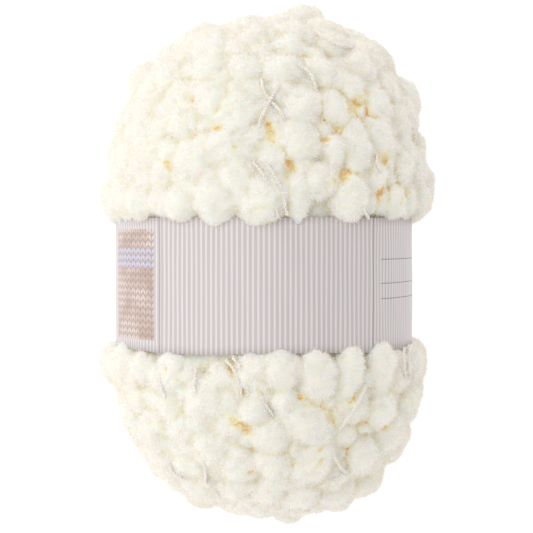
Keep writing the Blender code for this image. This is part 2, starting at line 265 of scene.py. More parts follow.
# %% Turn each pompom, and make the outer layer
def turned(normal, lean):
    """The turn of one pompom: its thread runs along the ball, leaning, and its height points outwards."""
    normal = Vector(normal)
    along = Vector((0, 1, 0)) - normal * normal.y
    if along.length < TINY:  # at the ball's ends, any way along will do
        along = Vector((1, 0, 0))
    along = Matrix.Rotation(-math.radians(lean), 3, normal) @ along.normalized()
    return Matrix((along.cross(normal), along, normal)).transposed()


middles, normals, lengths, widths, heights, leans = pompoms()
half_sizes = np.stack([widths, lengths, heights], axis=1) / 2
print(len(middles), "pompoms,", round(1000 * float(lengths.mean()), 1), "mm long on average")

# %% [markdown]
# Between the pompoms of the outer layer one sees those of the layer below. Their places come from the
# widest gap: put a pompom where the nearest other one is furthest away, and repeat until no wide gap is
# left. They lie a little deeper, most so on the ball's loosely wound right, and keep clear of the band.

# %% Fill the gaps from the layer below
GAP_SPOTS = 6000  # places over the ball that are tried
GAP_DEPTH = 0.8 * MM
LOOSE_DEPTH = 4.2 * MM  # the ball is wound looser on its right, so its gaps are this much deeper there
GAP_RADIUS = 7.8 * MM
GAP_CLEARANCE = 8 * MM
GAP_POMPOM = (13 * MM, 15 * MM, 14 * MM)
FULLNESS = (1.2, 1.16, 1.06)  # how far the soft pile swells past the solid: across, along and out


def looseness(across):
    """0 on the ball's left half, growing to 1 at its right side."""
    return np.clip(across / (BALL_WIDTH / 2), 0, 1)


def gap_pompoms(outer):
    """Middles, outward directions, half sizes and leans of the pompoms that show through the gaps."""
    draw = np.random.default_rng(WIND_SEED + 1)
    spots = lattice(GAP_SPOTS)
    spots = at_depth(spots, POMPOM_HEIGHT / 2 + GAP_DEPTH + LOOSE_DEPTH * looseness(spots[:, 0]))
    spots = spots[np.abs(spots[:, 1] - BAND_MIDDLE) > BAND_HEIGHT / 2 + GAP_CLEARANCE]
    directions = outward(spots)
    spots[:, 0] += bow(spots[:, 1])
    away = np.linalg.norm(spots[:, None] - outer[None], axis=2).min(axis=1)
    chosen = []
    while away.max() > GAP_RADIUS:
        chosen.append(int(away.argmax()))
        away = np.minimum(away, np.linalg.norm(spots - spots[chosen[-1]], axis=1))
    size = 1 + draw.uniform(-POMPOM_SPREAD, POMPOM_SPREAD, (len(chosen), 1))
    gap_sizes = size * np.array(GAP_POMPOM) / 2
    return spots[chosen], directions[chosen], gap_sizes, draw.uniform(-90, 90, len(chosen))


gap_middles, gap_normals, gap_halves, gap_leans = gap_pompoms(middles)
outer_count = len(middles)
middles = np.concatenate([middles, gap_middles]) + (0, 0, BALL_AXIS_HEIGHT)
normals = np.concatenate([normals, gap_normals])
half_sizes = np.concatenate([half_sizes, gap_halves]) * FULLNESS
turns = [turned(*both) for both in zip(normals, np.concatenate([leans, gap_leans]))]
print(len(gap_middles), "more in the gaps")

# %% [markdown]
# ## A helper for node trees
#
# Shaders and Geometry Nodes are both trees of nodes. One class makes a node from its type, its settings and
# its inputs. The other wraps an output, so that plain Python sums and products add the Math nodes.


# %% Signals, which Python's operators work on
def operator(operation, reflected=False):
    """The method behind an operator, or behind its reflected form, where the signal stands on the right."""

    def method(self, other):
        pair = (other, self) if reflected else (self, other)
        return self.tree.node("ShaderNodeMath", {"operation": operation}, pair)

    return method


class Signal:
    """One output of a node. Sums, products and comparisons of signals add Math nodes to its tree."""

    def __init__(self, tree, socket):
        self.tree, self.socket = tree, socket

    __add__ = __radd__ = operator("ADD")
    __sub__ = operator("SUBTRACT")
    __rsub__ = operator("SUBTRACT", reflected=True)
    __mul__ = __rmul__ = operator("MULTIPLY")
    __truediv__ = operator("DIVIDE")
    __rtruediv__ = operator("DIVIDE", reflected=True)
    __gt__ = operator("GREATER_THAN")
    __lt__ = operator("LESS_THAN")

    def maths(self, operation, *others):
        """Any other Math node, such as the cosine."""
        return self.tree.node("ShaderNodeMath", {"operation": operation}, (self, *others))

    def span(self, low, high, at_low=0.0, at_high=1.0):
        """The signal from low to high, stretched to run from at_low to at_high and held there outside."""
        values = {"Value": self, 1: low, 2: high, 3: at_low, 4: at_high}
        return self.tree.node("ShaderNodeMapRange", values=values)

    def part(self, axis):
        """The X, Y or Z of a vector."""
        return self.tree.node("ShaderNodeSeparateXYZ", values=[self], output="XYZ".index(axis))

    def vector(self, operation, other, output=0):
        return self.tree.node("ShaderNodeVectorMath", {"operation": operation}, [self, other], output)

    def scaled(self, share):
        """A vector times a number."""
        return self.tree.node("ShaderNodeVectorMath", {"operation": "SCALE"}, {0: self, "Scale": share})


# %% Trees, which make the nodes
class Tree:
    """A node tree that is written one call a node."""

    def __init__(self, tree):
        self.tree = tree

    def node(self, kind, settings=None, values=(), output=0):
        """Adds a node, sets its settings and then its inputs, by place or by name, and gives one output."""
        made = self.tree.nodes.new(kind)
        for name, value in (settings or {}).items():
            setattr(made, name, value)
        pairs = values.items() if isinstance(values, dict) else enumerate(values)
        for key, value in pairs:
            socket = made.inputs[key]
            if isinstance(value, Signal):
                self.tree.links.new(value.socket, socket)
            else:
                socket.default_value = value
        return Signal(self, made.outputs[output])

    def noise(self, place, scale, detail=1.0):
        return self.node("ShaderNodeTexNoise", values={"Vector": place, "Scale": scale, "Detail": detail})

    def place(self):
        """Where a point lies on the object, which sits at the origin."""
        return self.node("ShaderNodeTexCoord", output=3)

    def attribute(self, name, output=2):
        """An attribute of the mesh, in a material."""
        return self.node("ShaderNodeAttribute", {"attribute_name": name}, output=output)

    def bump(self, height, strength, distance):
        values = {"Strength": strength, "Distance": distance, "Height": height}
        return self.node("ShaderNodeBump", values=values)

    def ramp(self, value, stops):
        """A colour ramp from (place, colour) stops."""
        made = self.tree.nodes.new("ShaderNodeValToRGB")
        while len(made.color_ramp.elements) < len(stops):
            made.color_ramp.elements.new(0.5)
        for element, stop in zip(made.color_ramp.elements, stops):
            element.position, element.color = stop
        self.tree.links.new(value.socket, made.inputs[0])
        return Signal(self, made.outputs[0])

    def mix(self, share, below, above):
        """One colour laid over another by a share."""
        values = {0: share, 6: below, 7: above}
        return self.node("ShaderNodeMix", {"data_type": "RGBA"}, values, output=2)


# %% Colours
def colour(red, green, blue):
    """A colour from 0 to 255 screen values, as the linear values that shaders use."""
    screen = (value / 255 for value in (red, green, blue))
    linear = [v / 12.92 if v <= 0.04045 else ((v + 0.055) / 1.055) ** 2.4 for v in screen]
    return (*linear, 1.0)


print("a screen's middle grey, 128, is", round(colour(128, 128, 128)[0], 3), "in linear values")


# %% Materials, each with the tree behind its shader
def finish_material(name, build, **constants):
    """A material whose shader takes its constants on its own sockets and the rest from build(tree)."""
    made = bpy.data.materials.new(name)
    made.use_nodes = True
    tree = Tree(made.node_tree)
    shader = made.node_tree.nodes["Principled BSDF"]
    for socket, value in constants.items():
        shader.inputs[socket.replace("_", " ")].default_value = value
    for socket, signal in build(tree).items():
        made.node_tree.links.new(signal.socket, shader.inputs[socket])
    return made


# %% A helper for Geometry Nodes trees
class Nodes(Tree):
    """A Geometry Nodes tree with named inputs. run() uses it on an object and leaves a plain mesh."""

    def __init__(self, name):
        super().__init__(bpy.data.node_groups.new(name, "GeometryNodeTree"))
        self.tree.interface.new_socket("Geometry", in_out="OUTPUT", socket_type="NodeSocketGeometry")
        self.tree.interface.new_socket("Geometry", in_out="INPUT", socket_type="NodeSocketGeometry")
        self.entry = self.tree.nodes.new("NodeGroupInput")
        self.identifiers = {}

    def inlet(self, name, kind="Float"):
        """A named input of the tree."""
        socket = self.tree.interface.new_socket(name, in_out="INPUT", socket_type="NodeSocket" + kind)
        self.identifiers[name] = socket.identifier
        return Signal(self, self.entry.outputs[name])

    def geometry(self):
        return Signal(self, self.entry.outputs["Geometry"])

    def field(self, name, kind="FLOAT"):
        """A named attribute of the geometry."""
        return self.node("GeometryNodeInputNamedAttribute", {"data_type": kind}, {"Name": name})

    def end(self, geometry):
        """Makes instances real and gives all the material that is the tree's last input."""
        real = self.node("GeometryNodeRealizeInstances", values=[geometry])
        material = self.inlet("Material", "Material")
        done = self.node("GeometryNodeSetMaterial", values={"Geometry": real, "Material": material})
        self.tree.links.new(done.socket, self.tree.nodes.new("NodeGroupOutput").inputs[0])
        return self

    def run(self, thing, **values):
        """Sets the inputs by their identifiers, evaluates the object and replaces its mesh by the result."""
        modifier = thing.modifiers.new(self.tree.name, "NODES")
        modifier.node_group = self.tree
        for name, value in values.items():
            modifier[self.identifiers[name.replace("_", " ")]] = value
        return settle(thing)


# %% Helpers for objects and their meshes
def settle(thing):
    """Makes what the modifiers give the object's own plain mesh."""
    graph = bpy.context.evaluated_depsgraph_get()
    mesh = bpy.data.meshes.new_from_object(thing.evaluated_get(graph), depsgraph=graph)
    thing.modifiers.clear()
    thing.data = mesh
    return thing


def new_object(name, mesh):
    thing = bpy.data.objects.new(name, mesh)
    bpy.context.scene.collection.objects.link(thing)
    return thing


def places_of(mesh):
    """Where a mesh's vertices lie, as an array."""
    places = np.empty(len(mesh.vertices) * 3, np.float32)
    mesh.vertices.foreach_get("co", places)
    return places.reshape(-1, 3)


def store(mesh, name, values):
    """Writes an array as a vertex attribute."""
    wide = np.ndim(values) == 2
    made = mesh.attributes.new(name, "FLOAT_VECTOR" if wide else "FLOAT", "POINT")
    made.data.foreach_set("vector" if wide else "value", np.asarray(values, np.float32).ravel())


def triangles(thing):
    return sum(len(face.vertices) - 2 for face in thing.data.polygons)


# %% [markdown]
# ## The cream pile
#
# The yarn is a soft napped polyester. Light goes into it and comes back warm, so the gaps between the pompoms
# look like honey while the tops are almost white. The base colour paints that warm light and the shade down in
# the gaps, after three attributes that are worked out below: "hollow" is high down between pompoms, "crease"
# where two of them touch, "warm" over some deep gaps.
# Light that wanders under the surface gives the skin its softness. The tufts and the thread do without it.

# %% Materials of the yarn
# CREAM is the yarn's own colour. CREAM_SHADE, HONEY and AMBER paint shade and the warm light that the pile
# scatters into its hollows and creases.
CREAM = colour(252, 246, 236)
CREAM_SHADE = colour(251, 242, 216)
HONEY = colour(252, 222, 160)
AMBER = colour(251, 196, 112)
TIP = colour(255, 251, 245)
TIP_SHADE = colour(253, 247, 235)
SHADE_HOLLOW = 0.6  # how much each attribute, and each noise, moves the colour towards amber: painted shade and warm light in hollows, creases and warm gaps; the tone noise is a random tone
SHADE_CREASE = 0.32
SHADE_STRAND = 0.4
SHADE_WARM = 0.13
SHADE_TONE = 0.2
STRAND_WIDTH = (0.01, 0.05)
STRAND_SCALE = 200.0  # noise scales: how many grains of each kind a metre holds
TONE_SCALE = 55.0
FLUFF_SCALE = 1300.0
FLUFF_BUMP = (0.5, 0.6 * MM)  # strength and height
THREAD_GRAIN_SCALE = 700.0
PILE_LOOK = dict(Roughness=0.95, Sheen_Weight=0.6, Sheen_Roughness=0.6, Specular_IOR_Level=0.1)
LIGHT_DEPTH = dict(Subsurface_Weight=1.0, Subsurface_Radius=(1.0, 0.85, 0.6), Subsurface_Scale=4.5 * MM)


def pile_finish(tree):
    # The colour paints shade and warm scattered light into hollows, creases, thin lines along the creases and
    # the warm gaps. Only the tone noise is the yarn's own random tone.
    place = tree.place()
    strand = (tree.noise(place, STRAND_SCALE) - 0.5).maths("ABSOLUTE").span(*STRAND_WIDTH, 1.0, 0.0)
    shade = tree.attribute("crease") * (SHADE_CREASE + SHADE_STRAND * strand)
    shade = shade + tree.attribute("hollow") * SHADE_HOLLOW + tree.attribute("warm") * SHADE_WARM
    shade = shade + SHADE_TONE * (tree.noise(place, TONE_SCALE) - 0.5)
    cream = tree.ramp(shade, [(0.0, CREAM), (0.4, CREAM_SHADE), (0.72, HONEY), (0.95, AMBER)])
    return {"Base Color": cream, "Normal": tree.bump(tree.noise(place, FLUFF_SCALE, 3.0), *FLUFF_BUMP)}


def tuft_finish(tree):
    return {"Base Color": tree.ramp(tree.noise(tree.place(), TONE_SCALE), [(0.35, TIP_SHADE), (0.6, TIP)])}


def thread_finish(tree):
    grain = tree.noise(tree.place(), THREAD_GRAIN_SCALE)
    return {"Base Color": tree.ramp(grain, [(0.3, TIP_SHADE), (0.7, TIP)])}


yarn_pile = finish_material("cream_pile", pile_finish, **PILE_LOOK, **LIGHT_DEPTH)
yarn_tufts = finish_material("cream_tufts", tuft_finish, **PILE_LOOK)
yarn_thread = finish_material("cream_thread", thread_finish, Roughness=0.7, Sheen_Weight=0.2)
print("yarn materials made")

# %% [markdown]
# ## One soft skin over the pompoms
#
# Each pompom starts as a ball on its own point, turned and stretched by Geometry Nodes. The wound core fills
# the middle. A voxel remesh then fuses them, as pompoms that press on each other hide the parts that touch,
# and noises swell the skin into the small lumps of real pile. The skin is made in two halves that meet
# under the band, so that each keeps its voxels fine.

# %% Instance the pompoms on their points
HALF_OVERLAP = 3 * MM
SOFT_CORE_DEPTH = 8.6 * MM  # the pile fills the bottoms of the valleys


def pompom_tree():
    tree = Nodes("Pompoms on points")
    ball = tree.node("GeometryNodeMeshIcoSphere", values={"Radius": 1.0, "Subdivisions": 4})
    turn = tree.node("FunctionNodeEulerToRotation", values=[tree.field("turn", "FLOAT_VECTOR")])
    size = tree.field("half_size", "FLOAT_VECTOR")
    values = {"Points": tree.geometry(), "Instance": ball, "Rotation": turn, "Scale": size}
    return tree.end(tree.node("GeometryNodeInstanceOnPoints", values=values))


def core_mesh(end):
    """The wound core of one half, a little under the valleys between the pompoms."""
    mesh = bmesh.new()
    core = bmesh.ops.create_icosphere(mesh, subdivisions=5, radius=BALL_WIDTH)["verts"]
    stretched = np.array([vertex.co[:] for vertex in core]) * (1, BALL_LENGTH / BALL_WIDTH, 1)
    depths = SOFT_CORE_DEPTH + LOOSE_DEPTH * looseness(stretched[:, 0] / 2)
    for vertex, place in zip(core, at_depth(stretched, depths)):
        along = BAND_MIDDLE + end * max(end * (place[1] - BAND_MIDDLE), -HALF_OVERLAP)
        vertex.co = (place[0] + bow(place[1]), along, place[2] + BALL_AXIS_HEIGHT)
    return mesh


pompoms_on_points = pompom_tree()


def loose_half(name, end):
    """All pompoms of the upper (end = 1) or lower (end = -1) half and their core, not fused yet."""
    mine = np.flatnonzero(end * (middles[:, 1] - BAND_MIDDLE) > 0)
    points = bpy.data.meshes.new(name)
    points.from_pydata([tuple(middles[i]) for i in mine], [], [])
    store(points, "turn", np.array([turns[i].to_euler()[:] for i in mine]))
    store(points, "half_size", half_sizes[mine])
    half = pompoms_on_points.run(new_object(name, points), Material=yarn_pile)
    whole = core_mesh(end)
    whole.from_mesh(half.data)
    whole.to_mesh(half.data)
    whole.free()
    return half


skins = [loose_half("upper_yarn_skin", 1), loose_half("lower_yarn_skin", -1)]
print("before they are fused:", [triangles(half) for half in skins], "triangles")

# %% [markdown]
# Where two pompoms press on each other there is a thin crease. Each pompom has a field that is 1 on its own
# surface and grows outwards. A point of the skin lies in a crease where the two smallest are nearly equal.

# %% Find the creases
CREASE_REACH = 0.13  # difference of the two smallest fields at which a crease ends
SKIN_PARTS = 60  # the skin is measured a part at a time, to spare memory


def crease_shares(mesh, end):
    """1 for points of the skin that lie in a crease, falling to 0 beside it."""
    mine = np.flatnonzero(end * (middles[:, 1] - BAND_MIDDLE) > 0)
    shares = []
    for some in np.array_split(places_of(mesh), SKIN_PARTS):
        fields = np.empty((len(mine), len(some)), np.float32)
        for row, i in zip(fields, mine):
            row[:] = np.linalg.norm((some - middles[i]) @ np.array(turns[i]) / half_sizes[i], axis=1)
        least = np.partition(fields, 1, axis=0)[:2]
        shares.append(np.clip(1 - (least[1] - least[0]) / CREASE_REACH, 0, 1))
    return np.concatenate(shares)


# %% [markdown]
# In some deep gaps the colour paints the warm light that the pile scatters there. On the face they are listed
# one by one.

# %% The warm gaps on the face, in mm from the middle of the ball; lean is in degrees from the long axis
WARM_COLUMNS = ("across", "along", "length", "width", "lean")
FACE_WARM_GAPS = (
    # above the band
    (40, 74, 16, 8, 46), (45, 81, 6, 3, -60), (18, 96, 8, 3, -66), (2, 61, 18, 5, -18),
    (54, 49, 17, 5, 16), (34, 41, 17, 7, 66), (52, 34, 17, 4, 20), (64, 33, 10, 4, 19),
    (11, 46, 9, 4, -32), (-2, 28, 9, 5, 64), (26, 58, 7, 3, 80), (5, 32, 5, 3, 0), (-22, 63, 6, 3, 84),
    (-14, 54, 5, 3, -17), (-45, 47, 7, 3, -20), (-34, 76, 5, 2, -5),
    # below the band
    (-13, -69, 18, 6, -53), (28, -65, 16, 5, -34), (39, -59, 12, 4, 44), (55, -73, 6, 4, 12),
    (-3, -54, 8, 3, -39), (-11, -54, 5, 3, -8), (-16, -44, 11, 3, -18), (15, -57, 6, 3, -47),
    (-46, -45, 6, 3, 0), (24, -87, 10, 4, 37), (24, -81, 6, 3, 32), (23, -100, 6, 3, 66),
    (-7, -92, 5, 3, 73), (64, -47, 6, 2, 0),
)
WARM_HEIGHT = 1.5  # the more it is over 1, the wider the evenly warm middle of a gap
WARM_SLOPE = 1.2  # how much the warmth falls from the middle of a gap to its edge
print(len(FACE_WARM_GAPS), "warm gaps placed by hand")


def warm_shares(mesh):
    """1 in the middle of the gaps on the face where warm light is painted, falling to 0 at their edges."""
    places = places_of(mesh)
    shares = np.zeros(len(places), np.float32)
    for row in FACE_WARM_GAPS:
        gap = dict(zip(WARM_COLUMNS, row))
        lean = math.radians(gap["lean"])
        across, along = places[:, 0] - gap["across"] * MM, places[:, 1] - gap["along"] * MM
        lengthways = (across * math.sin(lean) + along * math.cos(lean)) / (gap["length"] * MM / 2)
        sideways = (across * math.cos(lean) - along * math.sin(lean)) / (gap["width"] * MM / 2)
        share = np.clip(WARM_HEIGHT - WARM_SLOPE * np.hypot(lengthways, sideways), 0, 1)
        shares = np.maximum(shares, np.where(places[:, 2] > BALL_AXIS_HEIGHT, share, 0))
    return shares


# %% [markdown]
# The fused skin is swollen along its normals by three noises of falling size. The creases are sunk a little
# where a wide noise opens them, more on the loosely wound right. Then "hollow" is measured: a point is
# blurred with its neighbours, and where the blurred place lies further out, the point is in a hollow.

# %% Fuse each half and swell it into soft lumps
VOXEL = 1.16 * MM
CREASE_SMOOTHING = (0.5, 4)  # how far, and how often, each point moves to the middle of its neighbours
CREASE_DEPTH = 0.7 * MM
CREASE_STRETCH = 16 * MM  # creases open and close again over about this length
CREASE_OPENS = (0.44, 0.58)  # values of that noise between which a crease opens
CREASE_SHARES = (0.6, 1.3)  # how far it opens: in the middle and to the left, and on the right
CREASE_RIGHT = 50 * MM
LUMP_SIZES = {"Bulge": (12 * MM, 4.5 * MM), "Lump": (5.2 * MM, 2.8 * MM), "Nap": (2.2 * MM, 1.6 * MM)}
HOLLOW_SPREAD = 20
HOLLOW_DEPTH = 2.6 * MM


def keep(tree, geometry, name, value):
    """Stores a value on the points of a geometry."""
    settings = {"data_type": "FLOAT", "domain": "POINT"}
    values = {"Geometry": geometry, "Name": name, "Value": value}
    return tree.node("GeometryNodeStoreNamedAttribute", settings, values)


def lump_tree():
    tree = Nodes("Soft lumps")
    moved = tree.geometry()
    place = tree.node("GeometryNodeInputPosition")
    normal = tree.node("GeometryNodeInputNormal")

    def push(geometry, rise):
        values = {"Geometry": geometry, "Offset": normal.scaled(rise)}
        return tree.node("GeometryNodeSetPosition", values=values)

    for kind in LUMP_SIZES:
        scale, height = 1 / tree.inlet(kind + " size"), tree.inlet(kind + " height")
        moved = push(moved, (tree.noise(place, scale) - 0.5) * height)
    patch = tree.noise(place, 1 / tree.inlet("Crease stretch"), 2.0)
    opened = patch.span(*CREASE_OPENS, 0.0, place.part("X").span(0.0, CREASE_RIGHT, *CREASE_SHARES))
    crease = (opened * tree.field("crease")).maths("MAXIMUM", tree.field("warm"))
    moved = keep(tree, moved, "crease", crease)
    moved = push(moved, tree.field("crease") * tree.inlet("Crease depth") * -1.0)
    spread = {"Value": place, "Iterations": tree.inlet("Hollow spread", "Int"), "Weight": 1.0}
    blurred = tree.node("GeometryNodeBlurAttribute", {"data_type": "FLOAT_VECTOR"}, spread)
    rise = blurred.vector("SUBTRACT", place).vector("DOT_PRODUCT", normal, output=1)
    moved = keep(tree, moved, "hollow", rise / tree.inlet("Hollow depth"))
    return tree.end(tree.node("GeometryNodeSetShadeSmooth", values=[moved]))


lump_inputs = {}
for kind, (size, height) in LUMP_SIZES.items():
    lump_inputs[kind + "_size"], lump_inputs[kind + "_height"] = size, height
lumps = lump_tree()
for skin, end in zip(skins, (1, -1)):
    fuse = skin.modifiers.new("Fuse", "REMESH")
    fuse.mode = "VOXEL"
    fuse.voxel_size = VOXEL
    soften = skin.modifiers.new("Soften creases", "SMOOTH")
    soften.factor, soften.iterations = CREASE_SMOOTHING
    settle(skin)
    store(skin.data, "crease", crease_shares(skin.data, end))
    store(skin.data, "warm", warm_shares(skin.data))
    lumps.run(skin, Hollow_spread=HOLLOW_SPREAD, Hollow_depth=HOLLOW_DEPTH, Crease_depth=CREASE_DEPTH,
              Crease_stretch=CREASE_STRETCH, Material=yarn_pile, **lump_inputs)
    hollow = np.percentile([point.value for point in skin.data.attributes["hollow"].data], (1, 50, 99))
    print(skin.name, triangles(skin), "triangles, hollow from low to high:", hollow.round(2).tolist())

# %% [markdown]
# ## Pressed by the table and by the paper
#
# The ball's weight squashes the pompoms below into a level patch, and the band holds the waist in. Both are
# small moves of single points, so they are done in numpy: heights near the table shrink smoothly towards it,
# and under the paper no point stands further out than the paper's inner side.

# %% Squash the underside and hold in the waist
SOFT_HEIGHT = 3.5 * MM  # points lower than this are squashed towards the table
PAPER_CLEARANCE = 0.8 * MM
EDGE_ZONE = 4 * MM  # so near the paper's edges the pompoms may swell over them


def press(mesh):
    """Squashes and holds in the skin, and marks with "open" where pile can stand on it."""
    places = places_of(mesh)
    low = places[:, 2] < SOFT_HEIGHT
    places[low, 2] = SOFT_HEIGHT * np.exp(places[low, 2] / SOFT_HEIGHT - 1)
    from_axis = places - (BAND_SHIFT, 0, BALL_AXIS_HEIGHT)
    radius = np.hypot(from_axis[:, 0], from_axis[:, 2])
    inside = (places[:, 1] > BAND_BOTTOM) & (places[:, 1] < BAND_TOP)
    deep = (places[:, 1] > BAND_BOTTOM + EDGE_ZONE) & (places[:, 1] < BAND_TOP - EDGE_ZONE)
    out = deep & (radius > BAND_RADIUS - PAPER_CLEARANCE)
    share = (BAND_RADIUS - PAPER_CLEARANCE) / radius[out]
    places[out, 0] = BAND_SHIFT + from_axis[out, 0] * share
    places[out, 2] = BALL_AXIS_HEIGHT + from_axis[out, 2] * share
    mesh.vertices.foreach_set("co", places.ravel())
    covered = inside & (radius < BAND_RADIUS + MM)
    resting = places[:, 2] < SOFT_HEIGHT / 2
    store(mesh, "open", np.where(covered | resting, 0.0, 1.0))
    mesh.update()


for skin in skins:
    press(skin.data)
    print(skin.name, "lowest point in mm:", round(1000 * float(places_of(skin.data)[:, 2].min()), 2))

# %% [markdown]
# ## The pile
#
# Real pompoms are cut pile: thousands of fine ends that stand out all round. Single fibres are finer than a
# photograph shows, so each tuft here is one small flat blade, scattered over the open skin with a random
# lean and size. The blades give the surface its frosted grain and its soft outline.

# %% Scatter the tufts
TUFTS_PER_MM2 = 2.6
TUFT_LENGTH = 1.35 * MM
TUFT_WIDTH = 0.22 * MM
TUFT_SIZES = (0.55, 1.5)
TUFT_LEAN = 0.4  # radians that a tuft may lean either way
TUFT_TURN = 6.28  # radians that a tuft may be turned round its own root
TUFT_THINNING = 0.9  # share of the tufts that is missing in a crease
TUFT_SEED = 20


def tuft_tree():
    tree = Nodes("Tufts on the skin")
    density, seed = tree.inlet("Tufts per m2"), tree.inlet("Seed", "Int")
    height = tree.node("GeometryNodeInputPosition").part("Z")
    here = ((height - BALL_AXIS_HEIGHT) * tree.inlet("Side") > 0.0) * tree.field("open")
    here = here * (1.0 - TUFT_THINNING * tree.field("crease"))
    spread = tree.tree.nodes.new("GeometryNodeDistributePointsOnFaces")
    for name, signal in (("Mesh", tree.geometry()), ("Density", density * here), ("Seed", seed)):
        tree.tree.links.new(signal.socket, spread.inputs[name])
    points, upright = (Signal(tree, spread.outputs[name]) for name in ("Points", "Rotation"))
    leans = {0: (-TUFT_LEAN, -TUFT_LEAN, 0.0), 1: (TUFT_LEAN, TUFT_LEAN, TUFT_TURN), "Seed": 1}
    lean = tree.node("FunctionNodeRandomValue", {"data_type": "FLOAT_VECTOR"}, leans)
    lean = tree.node("FunctionNodeEulerToRotation", values=[lean])
    turn = tree.node("FunctionNodeRotateRotation", {"rotation_space": "LOCAL"}, [upright, lean])
    sizes = {2: TUFT_SIZES[0], 3: TUFT_SIZES[1], "Seed": 2}
    size = tree.node("FunctionNodeRandomValue", {"data_type": "FLOAT"}, sizes, output=1)
    width, length = tree.inlet("Width"), tree.inlet("Length")
    blade = tree.node("GeometryNodeMeshCircle", {"fill_type": "NGON"}, {"Vertices": 3, "Radius": 1.0})
    blade = tree.node("GeometryNodeTransform", values={
        "Geometry": blade,
        "Rotation": (0.0, -math.pi / 2, 0.0),
        "Translation": tree.node("ShaderNodeCombineXYZ", values={2: length / 3}),
        "Scale": tree.node("ShaderNodeCombineXYZ", values=[length / 1.5, width / math.sqrt(3), 1.0]),
    })
    values = {"Points": points, "Instance": blade, "Rotation": turn, "Scale": size}
    return tree.end(tree.node("GeometryNodeInstanceOnPoints", values=values))


tufts = tuft_tree()
yarn_pieces = list(skins)
for skin in skins:
    for name, side in (("front", 1.0), ("back", -1.0)):
        pile = new_object(skin.name.replace("skin", "pile_") + name, skin.data.copy())
        tufts.run(pile, Tufts_per_m2=TUFTS_PER_MM2 / MM**2, Seed=TUFT_SEED + len(yarn_pieces), Side=side,
                  Width=TUFT_WIDTH, Length=TUFT_LENGTH, Material=yarn_tufts)
        yarn_pieces.append(pile)
        print(pile.name, triangles(pile), "triangles")

# %% [markdown]
# ## The thread between pompoms
#
# Pompom yarn is a thin two-ply thread that carries its pompoms some way apart. Where the winding leaves a
# pompom, the bare thread bridges to the next one and shows as a fine twisted line over the gaps. The ones on
# the face are listed one by one. All round the ball more are drawn between pompoms that lie near each other.

# %% The threads on the face, in mm from the middle of the ball; depth is under its outer form
THREAD_COLUMNS = ("across_start", "along_start", "across_end", "along_end", "bend", "depth")
FACE_THREADS = (
    # two that cross above the middle
    (-2, 85, 2, 75, 1, 1.2), (2, 75, 8, 66, -1, 1.2), (8, 84, -4, 61, 2, 1.7),
    (12, 93, 22, 79, -3, 1.7),
    # at the right edge
    (64, 74, 70, 58, -2, 1.5), (22, 110, 40, 102, 3, 2.2),
    # twin threads down to the band
    (-6, 48, 5, 23, -2, 0.6), (-2, 49, 9, 24, -2, 0.8), (50, 52, 53, 42, 1, 1.7),
    (41, 34, 46, 23, 1, 1.2),
    # under the band
    (45, -52, 33, -72, -1, 1.2), (29, -81, 37, -94, 1, 1.2), (38, -92, 24, -100, -1, 1.7),
    (64, -37, 65, -53, 1, 2.2), (67, -37, 67, -54, 1, 2.2), (-4, -50, 3, -65, 1, 2.2),
    (-18, -40, -11, -58, -2, 3.0), (-15, -39, -8, -57, -2, 3.0), (-31, -44, -30, -60, 1, 1.7),
    (-48, -48, -45, -59, 1, 1.7),
    # the strand at the lower left
    (-34, -80, -28, -98, -3, 1.7), (-28, -98, -22, -106, -1, 1.7), (-45, -90, -38, -98, 2, 1.7),
)
THREAD_STEP = 1.5 * MM
THREAD_POINTS = 4  # the least number of points on a route
THREAD_DIP = 3 * MM  # both ends of a thread dive this far into the pile
print(len(FACE_THREADS), "threads placed by hand")


def face_routes():
    """The routes of the threads on the face, at their depth under the ball's outer form."""
    for row in FACE_THREADS:
        thread = {name: value * MM for name, value in zip(THREAD_COLUMNS, row)}
        steps_across = thread["across_end"] - thread["across_start"]
        steps_along = thread["along_end"] - thread["along_start"]
        length = math.hypot(steps_across, steps_along)
        share = np.linspace(0, 1, max(THREAD_POINTS, round(length / THREAD_STEP)))
        bend = thread["bend"] * np.sin(math.pi * share) / length
        across = thread["across_start"] + share * steps_across + bend * steps_along
        along = thread["along_start"] + share * steps_along - bend * steps_across
        depth = thread["depth"] + THREAD_DIP * np.abs(2 * share - 1) ** 4
        radius = np.maximum(ring_radius(along, 0), np.abs(across - bow(along)) + MM) - depth
        towards = np.sqrt(np.maximum(radius**2 - (across - bow(along)) ** 2, 0))
        yield np.stack([across, along, towards + BALL_AXIS_HEIGHT], axis=1)


# %% Links all round, and all the routes in one mesh
LINK_COUNT = 45
LINK_REACH = (15 * MM, 27 * MM)
LINK_LIFT = 6.4 * MM
LINK_DIP = 4 * MM
LINK_BEND = 2.5 * MM
LINK_FACING = 0.45  # how far upwards a link may face; nearer the top the face's own threads lie
LINK_FLOOR = 12 * MM  # none starts or ends lower than this
THREAD_WANDER = 0.12 * MM
THREAD_SEED = 31


